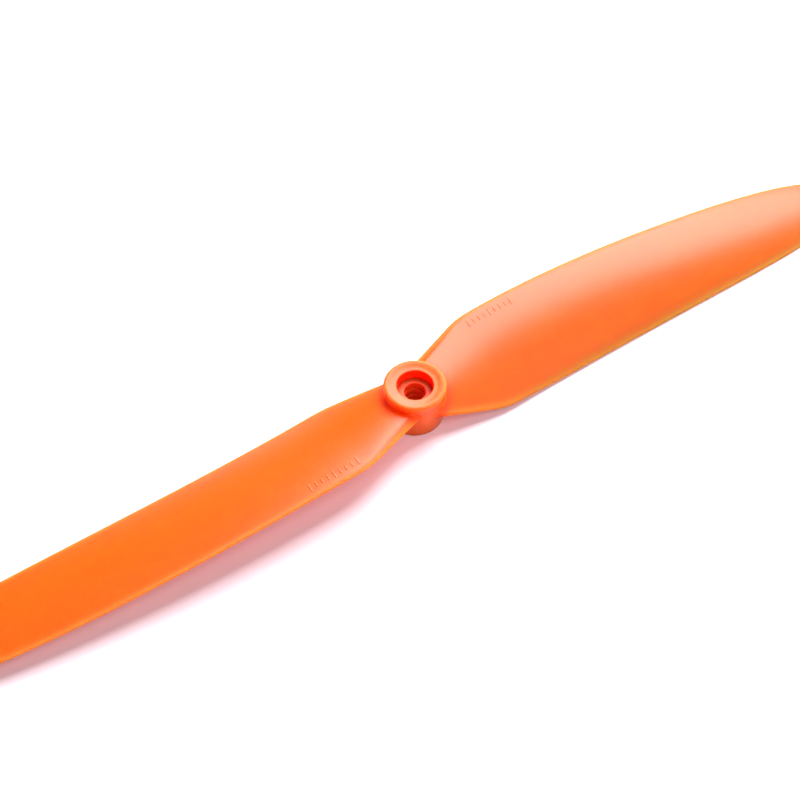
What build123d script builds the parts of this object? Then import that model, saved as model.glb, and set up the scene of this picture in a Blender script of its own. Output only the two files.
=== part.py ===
from build123d import *
import os
from math import pi, sin

# A two-blade propeller for an electric model aeroplane. It is one plastic moulding, a hub and two
# blades, with three loose adapter rings stacked in the socket of its hub. Millimetres.
# The origin is on the shaft axis at the hub's back face, which seats on the motor. +Z points
# forwards, out of the front of the hub. +X runs along the first blade. Seen from the front the
# propeller turns anticlockwise, so the leading edge of the +X blade is its +Y edge.

# Overall sizes
DIAMETER = 254.0
PITCH = 127.0

# Hub: a tapered boss with a rounded rim round its front face
HUB_HEIGHT = 10.5
HUB_BACK_RADIUS = 6.5
HUB_NECK_RADIUS = 6.7
HUB_EDGE = 0.3
RIM_RADIUS = 7.0
RIM_HEIGHT = 1.6
RIM_UNDERCUT = 0.3
RIM_ROUND = 0.6
LIP_RADIUS = 5.6
LIP_DEPTH = 0.3

# Socket for the adapter rings, and the hole through the floor below it
SOCKET_RADIUS = 4.0
FLOOR_THICKNESS = 2.4
FLOOR_HOLE_RADIUS = 3.0

# Adapter rings: hole radius of each, from the top of the stack to the bottom
RING_HOLES = {"adapter_ring_large": 2.4, "adapter_ring_medium": 2.2, "adapter_ring_small": 2.0}
RING_THICKNESS = 1.8
RING_CLEARANCE = 0.05
RING_EDGE = 0.12

# Blade outline, seen from the front. Each edge starts inside the hub, widens to a corner, settles to
# its reach (its distance from the blade line along most of the blade) and rounds in to the tip
LEAD_START_REACH = 5.4
LEAD_CORNER = 19.0
LEAD_CORNER_REACH = 12.15
LEAD_REACH = 13.65
LEAD_SETTLE = 4
LEAD_TAPER = 2.3
LEAD_ROUND = 0.42
TRAIL_START_REACH = 6.3
TRAIL_BOW = 0.85
TRAIL_CORNER = 18.0
TRAIL_CORNER_REACH = 11.0
TRAIL_REACH = 9.8
TRAIL_SETTLE = 3
TRAIL_TAPER = 11
TRAIL_ROUND = 0.5
TIP_CUT = 0.998

# Blade twist, and the height of the blade line above the hub's back face
ROOT_SLOPE = 0.17
FULL_SLOPE = 0.335
ROOT_TWIST_END = 36.0
TWIST_BLEND = 6
ROOT_HEIGHT = 6.6
CORNER_HEIGHT = 4.75
TIP_HEIGHT = 1.6
HEIGHT_FALL = 1.14

# Blade section: the bevelled leading edge, the thin trailing edge and the swelling between them
CAMBER = 0.045
ROOT_BEVEL = 2.2
BEVEL = 0.25
BEVEL_FADE = 6
ROOT_NOSE = 1.4
NOSE = 0.7
ROOT_TAIL = 0.8
TAIL = 0.5
ROOT_BULGE = 1.2
TIP_BULGE = 0.4
ROOT_STEPS = 4
BLADE_STEPS = 18
CHORD_STEPS = (0.0, 0.15, 0.35, 0.6, 0.82, 1.0)

# How far each cutting disc runs past the face it opens
CUT_PAST = 1.0

TIP_RADIUS = DIAMETER / 2
RING_RADIUS = SOCKET_RADIUS - RING_CLEARANCE


def mix(start, end, share):
    return start + (end - start) * share


def hump(share):
    return 4 * share * (1 - share)


def slope_at(radius):
    """Rise of the section from trailing to leading edge: a root twist that eases into the pitch's helix."""
    inboard = max(0, 1 - radius / ROOT_TWIST_END)
    root_slope = mix(FULL_SLOPE, ROOT_SLOPE, inboard ** 2)
    past_helix = root_slope * 2 * pi * radius / PITCH
    return root_slope / (1 + past_helix ** TWIST_BLEND) ** (1 / TWIST_BLEND)


def section(lead_edge, trail_edge, height, bevel, nose, tail, bulge):
    """Closed blade section in the vertical plane through two (x, y) edge points."""
    slope = slope_at(lead_edge[0])
    chord = lead_edge[1] - trail_edge[1]
    upper = []
    lower = []
    for step in CHORD_STEPS:
        for points, share, side in ((upper, mix(bevel / chord, 1, step), 0.5), (lower, step, -0.5)):
            x = mix(lead_edge[0], trail_edge[0], share)
            y = mix(lead_edge[1], trail_edge[1], share)
            middle = height + slope * y + CAMBER * chord * hump(share)
            thickness = mix(nose, tail, share) + bulge * hump(share)
            points.append(Vector(x, y, middle + side * thickness))
    top = Edge.make_spline(upper)
    back = Edge.make_line(upper[-1], lower[-1])
    bottom = Edge.make_spline(lower[::-1])
    front = Edge.make_line(lower[0], upper[0])
    return Wire([top, back, bottom, front])


def root_section(share):
    """Section from the shaft axis (0) to the root corners (1), where the blade widens."""
    lead = mix(LEAD_START_REACH, LEAD_CORNER_REACH, share)
    trail = mix(TRAIL_START_REACH, TRAIL_CORNER_REACH, share ** TRAIL_BOW)
    return section((LEAD_CORNER * share, lead), (TRAIL_CORNER * share, -trail),
                   mix(ROOT_HEIGHT, CORNER_HEIGHT, share), mix(ROOT_BEVEL, BEVEL, share),
                   mix(ROOT_NOSE, NOSE, share), mix(ROOT_TAIL, TAIL, share), ROOT_BULGE)


def reach_at(share, corner, settled, settle, taper, roundness):
    """An edge's distance from the blade line, between its corner (0) and the tip (1)."""
    return mix(settled, corner, (1 - share) ** settle) * (1 - (TIP_CUT * share) ** taper) ** roundness


def blade_section(share):
    """Section from the root corners (0) to the tip (1), where both edges curve in."""
    lead = reach_at(share, LEAD_CORNER_REACH, LEAD_REACH, LEAD_SETTLE, LEAD_TAPER, LEAD_ROUND)
    trail = reach_at(share, TRAIL_CORNER_REACH, TRAIL_REACH, TRAIL_SETTLE, TRAIL_TAPER, TRAIL_ROUND)
    lead_edge = (mix(LEAD_CORNER, TIP_RADIUS, share), lead)
    trail_edge = (mix(TRAIL_CORNER, TIP_RADIUS, share), -trail)
    return section(lead_edge, trail_edge, mix(TIP_HEIGHT, CORNER_HEIGHT, (1 - share) ** HEIGHT_FALL),
                   BEVEL * (1 - (TIP_CUT * share) ** BEVEL_FADE), mix(NOSE, TAIL, share), TAIL,
                   mix(ROOT_BULGE, TIP_BULGE, share))


def make_blade():
    root = [root_section(step / ROOT_STEPS) for step in range(ROOT_STEPS + 1)]
    blade = [blade_section(sin(pi / 2 * step / BLADE_STEPS)) for step in range(BLADE_STEPS + 1)]
    return Solid.make_loft(root) + Solid.make_loft(blade)


def make_hub():
    """Boss turned from its half outline; the rim's top edge is an arc."""
    rim_bottom = HUB_HEIGHT - RIM_HEIGHT
    side = Polyline(
        (0, HUB_HEIGHT), (0, 0), (HUB_BACK_RADIUS - HUB_EDGE, 0), (HUB_BACK_RADIUS, HUB_EDGE),
        (HUB_NECK_RADIUS, rim_bottom - RIM_UNDERCUT), (RIM_RADIUS, rim_bottom),
        (RIM_RADIUS, HUB_HEIGHT - RIM_ROUND))
    rim_arc = RadiusArc(side @ 1, (RIM_RADIUS - RIM_ROUND, HUB_HEIGHT), -RIM_ROUND)
    face_line = Line(rim_arc @ 1, side @ 0)
    return revolve(Plane.XZ * make_face(side + rim_arc + face_line), Axis.Z)


def disc(radius, bottom, top):
    return Pos(0, 0, bottom) * Cylinder(radius, top - bottom, align=(Align.CENTER, Align.CENTER, Align.MIN))


def make_propeller():
    blade = make_blade()
    body = make_hub() + blade + blade.rotate(Axis.Z, 180)
    body -= disc(LIP_RADIUS, HUB_HEIGHT - LIP_DEPTH, HUB_HEIGHT + CUT_PAST)
    body -= disc(SOCKET_RADIUS, FLOOR_THICKNESS, HUB_HEIGHT + CUT_PAST)
    body -= disc(FLOOR_HOLE_RADIUS, -CUT_PAST, FLOOR_THICKNESS + CUT_PAST)
    return body


def make_ring(hole_radius, bottom):
    top = bottom + RING_THICKNESS
    ring = disc(RING_RADIUS, bottom, top) - disc(hole_radius, bottom - CUT_PAST, top + CUT_PAST)
    return chamfer(ring.edges().filter_by(GeomType.CIRCLE), RING_EDGE)


os.makedirs("parts", exist_ok=True)
propeller = make_propeller()
propeller.label = "propeller"
export_step(propeller, "parts/propeller.step")

for place, name in enumerate(reversed(RING_HOLES)):
    ring = make_ring(RING_HOLES[name], FLOOR_THICKNESS + place * RING_THICKNESS)
    ring.label = name
    export_step(ring, "parts/" + name + ".step")
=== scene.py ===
from math import cos, exp, hypot, pi, radians, sin, sqrt

import bmesh
import bpy
from mathutils import Matrix, Vector


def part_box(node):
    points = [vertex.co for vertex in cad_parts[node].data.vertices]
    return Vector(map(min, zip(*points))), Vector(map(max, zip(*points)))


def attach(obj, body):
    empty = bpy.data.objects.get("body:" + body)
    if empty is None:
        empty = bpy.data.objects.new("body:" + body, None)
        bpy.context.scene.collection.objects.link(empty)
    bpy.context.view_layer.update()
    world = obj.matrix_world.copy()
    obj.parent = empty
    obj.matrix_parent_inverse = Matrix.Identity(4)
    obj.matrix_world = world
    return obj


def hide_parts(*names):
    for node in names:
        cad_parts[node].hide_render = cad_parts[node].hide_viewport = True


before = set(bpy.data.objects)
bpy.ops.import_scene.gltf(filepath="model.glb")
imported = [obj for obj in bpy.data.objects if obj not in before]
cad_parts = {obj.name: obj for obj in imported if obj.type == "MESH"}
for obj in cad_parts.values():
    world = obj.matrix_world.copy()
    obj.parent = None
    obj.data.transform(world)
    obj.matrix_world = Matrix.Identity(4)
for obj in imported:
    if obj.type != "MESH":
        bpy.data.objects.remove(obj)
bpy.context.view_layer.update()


# ---- Camera. A 63 mm lens about 31 cm from the hub, on a stand that looks steeply down across
# the blades, so that the hub sits a little right of the middle and both tips run out of view.
LENS = 63.0
REACH = 0.3075
LOOK_DOWN = radians(52.8)
LOOK_ROUND = radians(33.0)
LEVEL_ERROR = radians(0.13)
HUB_POINT = Vector((0, 0, 0.0098))
HUB_RIGHT_OF_MIDDLE = 0.003295
HUB_ABOVE_MIDDLE = 0.003053

forward = Vector((sin(LOOK_ROUND) * cos(LOOK_DOWN), cos(LOOK_ROUND) * cos(LOOK_DOWN), -sin(LOOK_DOWN)))
level = Vector((cos(LOOK_ROUND), -sin(LOOK_ROUND), 0))
upright = level.cross(forward)
right = level * cos(LEVEL_ERROR) + upright * sin(LEVEL_ERROR)
up = upright * cos(LEVEL_ERROR) - level * sin(LEVEL_ERROR)
eye = HUB_POINT - forward * REACH - right * HUB_RIGHT_OF_MIDDLE - up * HUB_ABOVE_MIDDLE

camera = bpy.data.objects.new("camera", bpy.data.cameras.new("camera"))
camera.data.lens = LENS
camera.data.clip_start = 0.01
camera.matrix_world = Matrix.Translation(eye) @ Matrix((right, up, -forward)).transposed().to_4x4()
bpy.context.scene.collection.objects.link(camera)
bpy.context.scene.camera = camera


# ---- Hub. The middle of the one orange nylon moulding: a boss turned about the shaft axis, with a
# rounded rim round its front face and a socket down its middle for the adapter rings. It is the
# start of the whole propeller's skin. Its sizes are in millimetres, with the shaft axis as Z.
MM = 0.001
TURN_STEPS = 160
CORNER_CUTS = 4
HUB_OUTLINE = (
    # radius, height, rounding
    (3.0, 0.0, 0.2), (6.5, 0.0, 0.35), (6.7, 8.6, 0.3), (7.0, 8.95, 0.25), (7.0, 10.5, 0.6),
    (6.0, 10.5, 0.5), (5.0, 10.2, 0.5), (4.0, 10.2, 0.3), (4.0, 2.4, 0.1), (3.0, 2.4, 0.2),
)


def turned(outline):
    """Turns a closed half outline, with each of its corners rounded, about the shaft axis."""
    shape = bmesh.new()
    corners = [shape.verts.new((radius * MM, 0, height * MM)) for radius, height, _ in outline]
    for start, end in zip(corners, corners[1:] + corners[:1]):
        shape.edges.new((start, end))
    for corner, (_, _, rounding) in zip(corners, outline):
        bmesh.ops.bevel(
            shape, geom=[corner], offset=rounding * MM, offset_type="OFFSET", segments=CORNER_CUTS,
            profile=0.5, affect="VERTICES", material=-1)
    bmesh.ops.spin(
        shape, geom=shape.verts[:] + shape.edges[:], cent=(0, 0, 0), axis=(0, 0, 1), angle=2 * pi,
        steps=TURN_STEPS, use_merge=True)
    bmesh.ops.remove_doubles(shape, verts=shape.verts, dist=1e-4 * MM)
    bmesh.ops.recalc_face_normals(shape, faces=shape.faces)
    return shape


def finished(shape, name):
    """Puts a shape in the scene as an object of its own."""
    mesh = bpy.data.meshes.new(name)
    shape.to_mesh(mesh)
    shape.free()
    made = bpy.data.objects.new(name, mesh)
    bpy.context.scene.collection.objects.link(made)
    return made


propeller = finished(turned(HUB_OUTLINE), "propeller_moulding")


# ---- Blades. Two of one shape, half a turn apart, moulded in one shot with the hub. A blade widens
# over its root to two corners and rounds in at the tip. Its leading edge is bevelled, its section is
# cambered and twisted to suit its pitch, and it runs into the hub's wall with a small fillet.
TIP_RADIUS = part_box("propeller")[1].x / MM - 0.01

# Outline from the front: each edge starts in the hub, widens to its corner and settles to its reach
LEAD_CORNER, TRAIL_CORNER = 19.0, 18.0
LEAD_START_REACH, LEAD_CORNER_REACH, LEAD_REACH = 5.4, 12.15, 13.65
TRAIL_START_REACH, TRAIL_CORNER_REACH, TRAIL_REACH = 6.3, 11.0, 9.8
TRAIL_BOW = 0.85
LEAD_SETTLE, TRAIL_SETTLE = 4, 3
LEAD_TAPER, TRAIL_TAPER = 2.3, 11
LEAD_ROUND, TRAIL_ROUND = 0.42, 0.5
TIP_CUT = 0.998
CORNER_EASE = 3.0
LEAD_BEND, TRAIL_BEND, HEIGHT_BEND = 0.3, 0.25, 0.06

# Twist, and the height of the blade line above the hub's back face
PITCH = 127.0
ROOT_SLOPE, FULL_SLOPE = 0.17, 0.335
ROOT_TWIST_END = 36.0
TWIST_BLEND = 6
ROOT_HEIGHT, CORNER_HEIGHT, TIP_HEIGHT = 6.6, 4.75, 1.6
HEIGHT_FALL = 1.14

# Section: the facet along the leading edge, the thickness at both edges, and the swelling between
CAMBER = 0.045
ROOT_FACET, CORNER_FACET, BLADE_FACET = 2.6, 1.5, 0.6
ROOT_CURVE, CORNER_CURVE, BLADE_CURVE = 1.05, 1.4, 2.0
FACET_FADE = 14
ROOT_NOSE, CORNER_NOSE, TIP_NOSE = 1.4, 0.7, 0.5
NOSE_DROP = 0.25
ROOT_TAIL, TAIL = 0.8, 0.5
ROOT_BULGE, TIP_BULGE = 1.2, 0.4

# Where the blade's skin ends inside the hub's wall, and the fillet round the hub's side
BURIED_RADIUS = 6.35
HUB_SIDE = 6.6
FILLET = 0.35

# Rows of skin along the root and the blade, and points round each
ROOT_ROWS = 84
BLADE_ROWS = 120
ROUND_COUNT = 80


def mix(start, end, share):
    return start + (end - start) * share


def hump(share):
    """0 at both ends and 1 halfway."""
    return 4 * share * (1 - share)


def eased(x, corner, bend):
    """How far a curve cuts inside a corner, where two lines meet with this change of slope."""
    return bend * CORNER_EASE / 4 * max(0, 1 - abs(x - corner) / CORNER_EASE) ** 2


def reach_at(along, corner_reach, reach, settle, taper, roundness):
    """An edge's distance from the blade line, between its corner (0) and the tip (1)."""
    return mix(reach, corner_reach, (1 - along) ** settle) * (1 - (TIP_CUT * along) ** taper) ** roundness


def outline_at(station):
    """The two edges of a blade, seen from the front: station 0 is the shaft, 1 the corners, 2 the tip."""
    if station <= 1:
        lead_x, trail_x = LEAD_CORNER * station, TRAIL_CORNER * station
        lead = mix(LEAD_START_REACH, LEAD_CORNER_REACH, station)
        trail = mix(TRAIL_START_REACH, TRAIL_CORNER_REACH, station ** TRAIL_BOW)
    else:
        along = station - 1
        lead_x, trail_x = mix(LEAD_CORNER, TIP_RADIUS, along), mix(TRAIL_CORNER, TIP_RADIUS, along)
        lead = reach_at(along, LEAD_CORNER_REACH, LEAD_REACH, LEAD_SETTLE, LEAD_TAPER, LEAD_ROUND)
        trail = reach_at(along, TRAIL_CORNER_REACH, TRAIL_REACH, TRAIL_SETTLE, TRAIL_TAPER, TRAIL_ROUND)
    lead -= eased(lead_x, LEAD_CORNER, LEAD_BEND)
    trail -= eased(trail_x, TRAIL_CORNER, TRAIL_BEND)
    return lead_x, lead, trail_x, -trail


def station_at(x):
    """The station of a leading edge point this far from the shaft."""
    if x < LEAD_CORNER:
        return x / LEAD_CORNER
    return min(2, 1 + (x - LEAD_CORNER) / (TIP_RADIUS - LEAD_CORNER))


def buried_station(across):
    """Where a line along the blade, at this share of the way across it, is still inside the hub's wall."""
    low, high = 0, 0.5
    for halving in range(16):
        middle = (low + high) / 2
        lead_x, lead, trail_x, trail = outline_at(middle)
        if hypot(mix(lead_x, trail_x, across), mix(lead, trail, across)) < BURIED_RADIUS:
            low = middle
        else:
            high = middle
    return low


def slope_at(radius):
    """How steeply a blade's section climbs from its trailing edge to its leading edge."""
    root_slope = mix(FULL_SLOPE, ROOT_SLOPE, max(0, 1 - radius / ROOT_TWIST_END) ** 2)
    past_helix = root_slope * 2 * pi * radius / PITCH
    return root_slope / (1 + past_helix ** TWIST_BLEND) ** (1 / TWIST_BLEND)


def quarter_round(share):
    """A quarter circle that starts upright at 0 and ends level, at a height of 1, at 1 and beyond."""
    return sqrt(1 - (1 - min(1, share)) ** 2)


def blade_point(station, across, top, lift=0):
    """A point of the blade's skin, or one that stands off it: across runs from leading to trailing edge."""
    lead_x, lead, trail_x, trail = outline_at(station)
    inboard, along = min(1, station), max(0, station - 1)
    past_corner = 1 - (1 - along) ** FACET_FADE
    if station <= 1:
        height = mix(ROOT_HEIGHT, CORNER_HEIGHT, station)
        facet = mix(ROOT_FACET, CORNER_FACET, station)
    else:
        height = mix(TIP_HEIGHT, CORNER_HEIGHT, (1 - along) ** HEIGHT_FALL)
        facet = mix(CORNER_FACET, BLADE_FACET, past_corner)
    height += eased(lead_x, LEAD_CORNER, HEIGHT_BEND)
    curve = mix(ROOT_CURVE, CORNER_CURVE, inboard) + (BLADE_CURVE - CORNER_CURVE) * past_corner
    nose = mix(ROOT_NOSE, CORNER_NOSE, inboard) + (TIP_NOSE - CORNER_NOSE) * along
    tail = mix(ROOT_TAIL, TAIL, inboard)
    chord = lead - trail
    x, y = mix(lead_x, trail_x, across), mix(lead, trail, across)
    half = (mix(nose, tail, across) + mix(ROOT_BULGE, TIP_BULGE, along) * hump(across)) / 2
    from_lead, from_trail = chord * across, chord * (1 - across)
    drop = -mix(NOSE_DROP, 0, inboard) * nose * (1 - min(1, from_lead / (2 * half)))
    if top:
        rise = (1 - (1 - min(1, from_lead / facet)) ** curve) ** (1 / curve)
        out = mix(drop, half, rise)
    else:
        out = mix(drop, -half, quarter_round(from_lead / half))
    out *= quarter_round(from_trail / half)
    flare = FILLET * (1 - quarter_round(max(hypot(x, y) - HUB_SIDE, 0) / FILLET))
    flare *= min(1, min(from_lead, from_trail) / half)
    out += flare if top else -flare
    middle = height + slope_at(lead_x) * y + CAMBER * chord * hump(across)
    return Vector((x, y, middle + out + lift)) * MM


def blade_shape():
    """A flat grid, wrapped round the blade's sections and closed at both ends."""
    shape = bmesh.new()
    rows = ROOT_ROWS + BLADE_ROWS
    bmesh.ops.create_grid(shape, x_segments=rows, y_segments=ROUND_COUNT, size=0.5)
    for vert in shape.verts:
        row = round((vert.co.x + 0.5) * rows)
        turn = (round((vert.co.y + 0.5) * ROUND_COUNT) % ROUND_COUNT) / ROUND_COUNT
        across = (1 - cos(2 * pi * turn)) / 2
        if row <= ROOT_ROWS:
            station = mix(buried_station(across), 1, row / ROOT_ROWS)
        else:
            station = 1 + sin(pi / 2 * (row - ROOT_ROWS) / BLADE_ROWS)
        vert.co = blade_point(station, across, turn < 0.5)
    bmesh.ops.remove_doubles(shape, verts=shape.verts, dist=1e-6 * MM)
    rim = [edge for edge in shape.edges if edge.is_boundary]
    bmesh.ops.holes_fill(shape, edges=rim, sides=0)
    bmesh.ops.recalc_face_normals(shape, faces=shape.faces)
    return shape


def joined(base, shape, angle):
    """Turns a shape about the shaft and joins it to the base, as one closed skin."""
    bmesh.ops.rotate(shape, verts=shape.verts, cent=(0, 0, 0), matrix=Matrix.Rotation(angle, 3, "Z"))
    other = finished(shape, "to_join")
    modifier = base.modifiers.new("join", "BOOLEAN")
    modifier.operation = "UNION"
    modifier.solver = "EXACT"
    modifier.object = other
    skin = bpy.data.meshes.new_from_object(base.evaluated_get(bpy.context.evaluated_depsgraph_get()))
    base.modifiers.clear()
    base.data = skin
    bpy.data.objects.remove(other)


# ---- Ticks. A short row of plain raised bars near each blade's leading edge, cut into the mould,
# with every fourth one longer. They stand about a tenth of a millimetre high.
TICKS = 9
FIRST_TICK, TICK_STEP = 20.8, 1.5
TICK_WIDTH = 0.4
TICK_LENGTH, LONG_TICK_LENGTH = 1.3, 2.1
TICK_HEIGHT = 0.11
TICK_ROUNDING = 0.12
TICK_FROM_EDGE = 3.0
CHORD_AT_TICKS = 24.0


def tick_shape(number):
    """One bar, laid along the skin and sunk a little into it."""
    shape = bmesh.new()
    bmesh.ops.create_cube(shape, size=1)
    top = [edge for edge in shape.edges if min(vert.co.z for vert in edge.verts) > 0]
    bmesh.ops.bevel(
        shape, geom=top, offset=TICK_ROUNDING, segments=2, profile=0.5, affect="EDGES", material=-1)
    length = TICK_LENGTH if number % 4 else LONG_TICK_LENGTH
    for vert in shape.verts:
        station = station_at(FIRST_TICK + TICK_STEP * number + TICK_WIDTH * vert.co.x)
        across = (TICK_FROM_EDGE - length * vert.co.y) / CHORD_AT_TICKS
        vert.co = blade_point(station, across, True, 2 * TICK_HEIGHT * vert.co.z)
    return shape


def smoothed(piece):
    """Shades a skin smooth, apart from its sharp edges."""
    piece.data.shade_smooth()
    piece.data.set_sharp_from_angle(angle=radians(40))


for angle in (0, pi):
    joined(propeller, blade_shape(), angle)
    for number in range(TICKS):
        joined(propeller, tick_shape(number), angle)
smoothed(propeller)


# ---- Orange nylon. The propeller's plastic lets a little light in. Light and shade are painted on its skin:
# a lighter, yellower colour at the rim and along the blades' edges is painted light, for light through the
# narrow plastic and a highlight on the rim; a strong red in the socket and beside the hub is painted shade,
# for shade and light that has bounced about there. Two marks on the skin say where. The rings have neither,
# so both read 0 there.
HUB_PATCH_RADIUS = 7.05
SOCKET_PATCH_RADIUS, SOCKET_PATCH_TOP = 4.2, 10.15
RIM_FOOT, RIM_RISE = 9.6, 0.9
FACE_EDGE, FACE_EDGE_WIDTH = 6.2, 0.6
FACE_LIGHT = 0.3
EDGE_WIDTH = 0.9
HUB_CORNER, HUB_CORNER_WIDTH = 6.9, 1.3
UNDER_RIM, UNDER_RIM_DEPTH = 8.9, 3.0
HUB_CORNER_SHADE = 0.85
# A lighter, yellower colour: painted light along the blades' edges and on the hub's rim.
EDGE_LIGHT_COLOUR = (0.93, 0.19, 0.013, 1)
# A strong red: painted shade in the socket and beside the hub, where light has bounced about.
RECESS_SHADE_COLOUR = (0.92, 0.03, 0.003, 1)


def clamped(value):
    return min(1, max(0, value))


def painted_light_and_shade(place):
    """How much painted edge light and how much painted recess shade a point of the moulding gets, each from 0
    to 1.
    """
    x, y, height = place / MM
    radius = hypot(x, y)
    # The socket's walls and floor take the full painted shade.
    if radius < SOCKET_PATCH_RADIUS and height < SOCKET_PATCH_TOP:
        return 0, 1
    # On the hub's top, painted light: a little over the face, and full on the rounded rim where the highlight
    # falls.
    if radius < HUB_PATCH_RADIUS:
        outer = clamped((radius - FACE_EDGE) / FACE_EDGE_WIDTH)
        return clamped((height - RIM_FOOT) / RIM_RISE) * mix(FACE_LIGHT, 1, outer), 0
    if x < 0:
        x, y = -x, -y
    _, lead, _, trail = outline_at(station_at(x))
    # On a blade, painted light fades in from both edges.
    from_edge = max(0, min(lead - y, y - trail))
    # Painted shade in the corner where the blade meets the hub's side, under the rim.
    beside_hub = exp(-((radius - HUB_CORNER) / HUB_CORNER_WIDTH) ** 2)
    beside_hub *= clamped((UNDER_RIM - height) / UNDER_RIM_DEPTH)
    return exp(-(from_edge / EDGE_WIDTH) ** 2), HUB_CORNER_SHADE * beside_hub


# The skin's two marks: painted edge light and painted recess shade.
edge_light = propeller.data.attributes.new("painted_edge_light", "FLOAT", "POINT")
recess_shade = propeller.data.attributes.new("recess_shade", "FLOAT", "POINT")
for index, vert in enumerate(propeller.data.vertices):
    edge_light.data[index].value, recess_shade.data[index].value = painted_light_and_shade(vert.co)


class Socket:
    """One end of a node in a material, so that shader sums are written as sums."""

    def __init__(self, tree, end=None):
        self.tree = tree
        self.end = end

    def add(self, kind, settings={}, inputs={}, output=0):
        """Adds a node with its settings, then its inputs' values or links, and returns one of its outputs."""
        made = self.tree.nodes.new(kind)
        for name, value in settings.items():
            setattr(made, name, value)
        for name, value in inputs.items():
            if isinstance(value, Socket):
                self.tree.links.new(value.end, made.inputs[name])
            else:
                made.inputs[name].default_value = value
        return Socket(self.tree, made.outputs[output] if made.outputs else None)

    def maths(self, operation, first, second):
        return self.add("ShaderNodeMath", {"operation": operation}, {0: first, 1: second})

    def __add__(self, other):
        return self.maths("ADD", self, other)

    def __radd__(self, other):
        return self.maths("ADD", other, self)

    def __mul__(self, other):
        return self.maths("MULTIPLY", self, other)

    def __rmul__(self, other):
        return self.maths("MULTIPLY", other, self)


def nylon(name, plain, pale, roughness):
    """Moulded nylon: two near shades where the melt flowed, a fine satin grain, light that sinks in, and
    painted edge light and painted recess shade where the skin's marks say.
    """
    material = bpy.data.materials.new(name)
    material.use_nodes = True
    material.node_tree.nodes.clear()
    start = Socket(material.node_tree)
    place = start.add("ShaderNodeTexCoord", output="Object")
    along_flow = start.add("ShaderNodeMapping", inputs={"Vector": place, "Scale": (60, 130, 130)})
    flow = start.add("ShaderNodeTexNoise", inputs={"Vector": along_flow, "Scale": 1.0, "Detail": 1.0})
    grain = start.add("ShaderNodeTexNoise", inputs={"Vector": place, "Scale": 2600.0, "Detail": 2.0})
    painted_edge_light = start.add("ShaderNodeAttribute", {"attribute_name": "painted_edge_light"}, output="Fac")
    recess_shade = start.add("ShaderNodeAttribute", {"attribute_name": "recess_shade"}, output="Fac")
    colour = plain
    # Over the flow shades go the painted edge light and then the painted recess shade, as colours.
    for share, shade in ((flow, pale), (painted_edge_light, EDGE_LIGHT_COLOUR), (recess_shade, RECESS_SHADE_COLOUR)):
        colour = start.add("ShaderNodeMix", {"data_type": "RGBA"}, {0: share, 6: colour, 7: shade}, output=2)
    skin = start.add(
        "ShaderNodeBump", inputs={"Strength": 0.1, "Distance": 0.00006, "Height": grain * 0.5 + flow * 0.5})
    surface = start.add("ShaderNodeBsdfPrincipled", inputs={
        "Base Color": colour,
        "Roughness": roughness + 0.05 * flow + 0.4 * painted_edge_light,
        "Normal": skin,
        "Subsurface Weight": 1.0,
        "Subsurface Radius": (4.5, 0.6, 0.25),
        "Subsurface Scale": 0.0013,
        "IOR": 1.35,
    })
    start.add("ShaderNodeOutputMaterial", inputs={"Surface": surface})
    return material


propeller.data.materials.clear()
propeller.data.materials.append(nylon("orange_nylon", (0.97, 0.095, 0.002, 1), (0.98, 0.106, 0.003, 1), 0.28))
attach(propeller, "propeller")
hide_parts("propeller")


# ---- Adapter rings. Three loose rings of a duller nylon, stacked in the socket, coloured redder than the propeller as painted shade for the dim red light down in the socket.
# They are alike outside, and each has a smaller hole than the one above, to suit a thinner shaft.
RINGS = (
    # node, body, hole radius, bottom
    ("adapter_ring_small", "small_ring", 2.0, 2.4),
    ("adapter_ring_medium", "medium_ring", 2.2, 4.2),
    ("adapter_ring_large", "large_ring", 2.4, 6.0),
)
RING_RADIUS = 3.95
RING_THICKNESS = 1.8
RING_ROUNDING = 0.14

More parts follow.
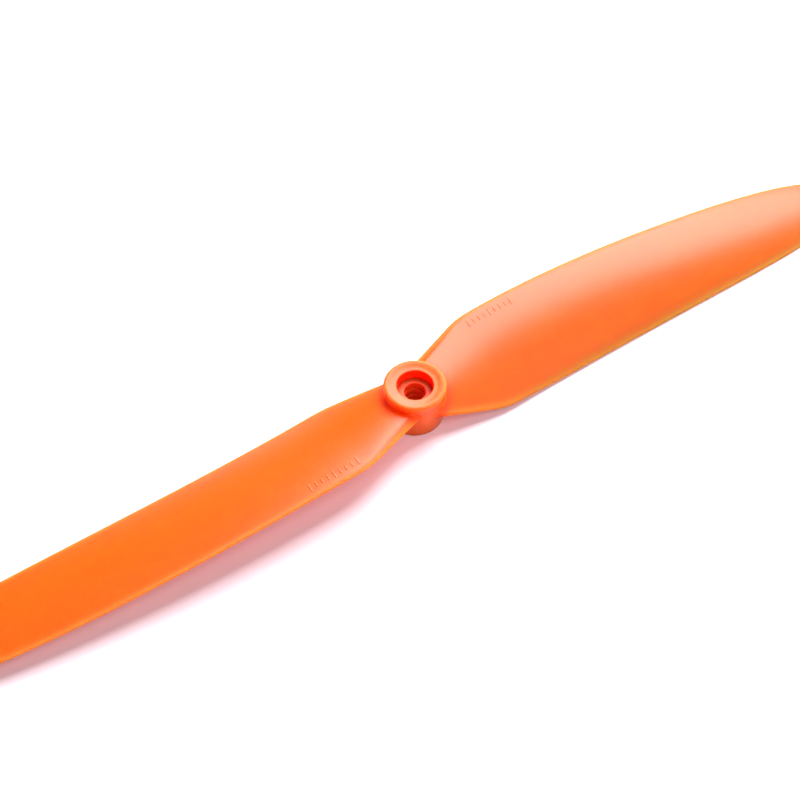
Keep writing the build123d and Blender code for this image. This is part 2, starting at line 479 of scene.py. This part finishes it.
# Redder than the propeller's colours: painted shade for the dim red light down in the socket.
ring_nylon = nylon("ring_nylon", (0.95, 0.055, 0.002, 1), (0.96, 0.063, 0.003, 1), 0.46)
for node, body, hole, bottom in RINGS:
    top = bottom + RING_THICKNESS
    outline = [(hole, bottom), (RING_RADIUS, bottom), (RING_RADIUS, top), (hole, top)]
    ring = finished(turned([(radius, height, RING_ROUNDING) for radius, height in outline]), node + "_turned")
    smoothed(ring)
    ring.data.materials.append(ring_nylon)
    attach(ring, body)
    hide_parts(node)


# ---- Floor and light. A pale pink table, lit until it looks white, under a large soft box almost
# overhead and a little behind. A smaller box low at the back lengthens the shadows. A wide weak fill
# from the front and a dim pale room soften them.
FLOOR_SIZE = 6.0
FLOOR_SHADE = (0.93, 0.78, 0.85, 1)
FLOOR_ROUGHNESS = 0.7
LIGHTS = (
    # name, direction, distance, width, depth, power
    ("soft_box", Vector((0.53, 0.36, 0.77)), 1.0, 0.73, 0.64, 20.0),
    ("back_box", Vector((0.5, 0.68, 0.54)), 1.2, 0.35, 0.3, 8.0),
    ("front_fill", Vector((0.1, -0.62, 0.72)), 1.5, 1.5, 1.3, 13.0),
)
ROOM_LIGHT = 0.13

floor_shape = bmesh.new()
bmesh.ops.create_grid(floor_shape, x_segments=1, y_segments=1, size=FLOOR_SIZE / 2)
floor = finished(floor_shape, "floor")
table = bpy.data.materials.new("pale_table")
table.use_nodes = True
table.node_tree.nodes["Principled BSDF"].inputs["Base Color"].default_value = FLOOR_SHADE
table.node_tree.nodes["Principled BSDF"].inputs["Roughness"].default_value = FLOOR_ROUGHNESS
floor.data.materials.append(table)

for name, direction, distance, width, depth, power in LIGHTS:
    light = bpy.data.objects.new(name, bpy.data.lights.new(name, "AREA"))
    light.data.shape = "RECTANGLE"
    light.data.size, light.data.size_y = width, depth
    light.data.energy = power
    back = direction.normalized()
    depth_way = (Vector((0, 1, 0)) - back * back.y).normalized()
    turn = Matrix((depth_way.cross(back), depth_way, back)).transposed().to_4x4()
    light.matrix_world = Matrix.Translation(back * distance) @ turn
    bpy.context.scene.collection.objects.link(light)

room = bpy.data.worlds.new("room")
room.use_nodes = True
room.node_tree.nodes["Background"].inputs["Color"].default_value = (1, 1, 1, 1)
room.node_tree.nodes["Background"].inputs["Strength"].default_value = ROOM_LIGHT
bpy.context.scene.world = room
bpy.context.scene.view_settings.view_transform = "Standard"
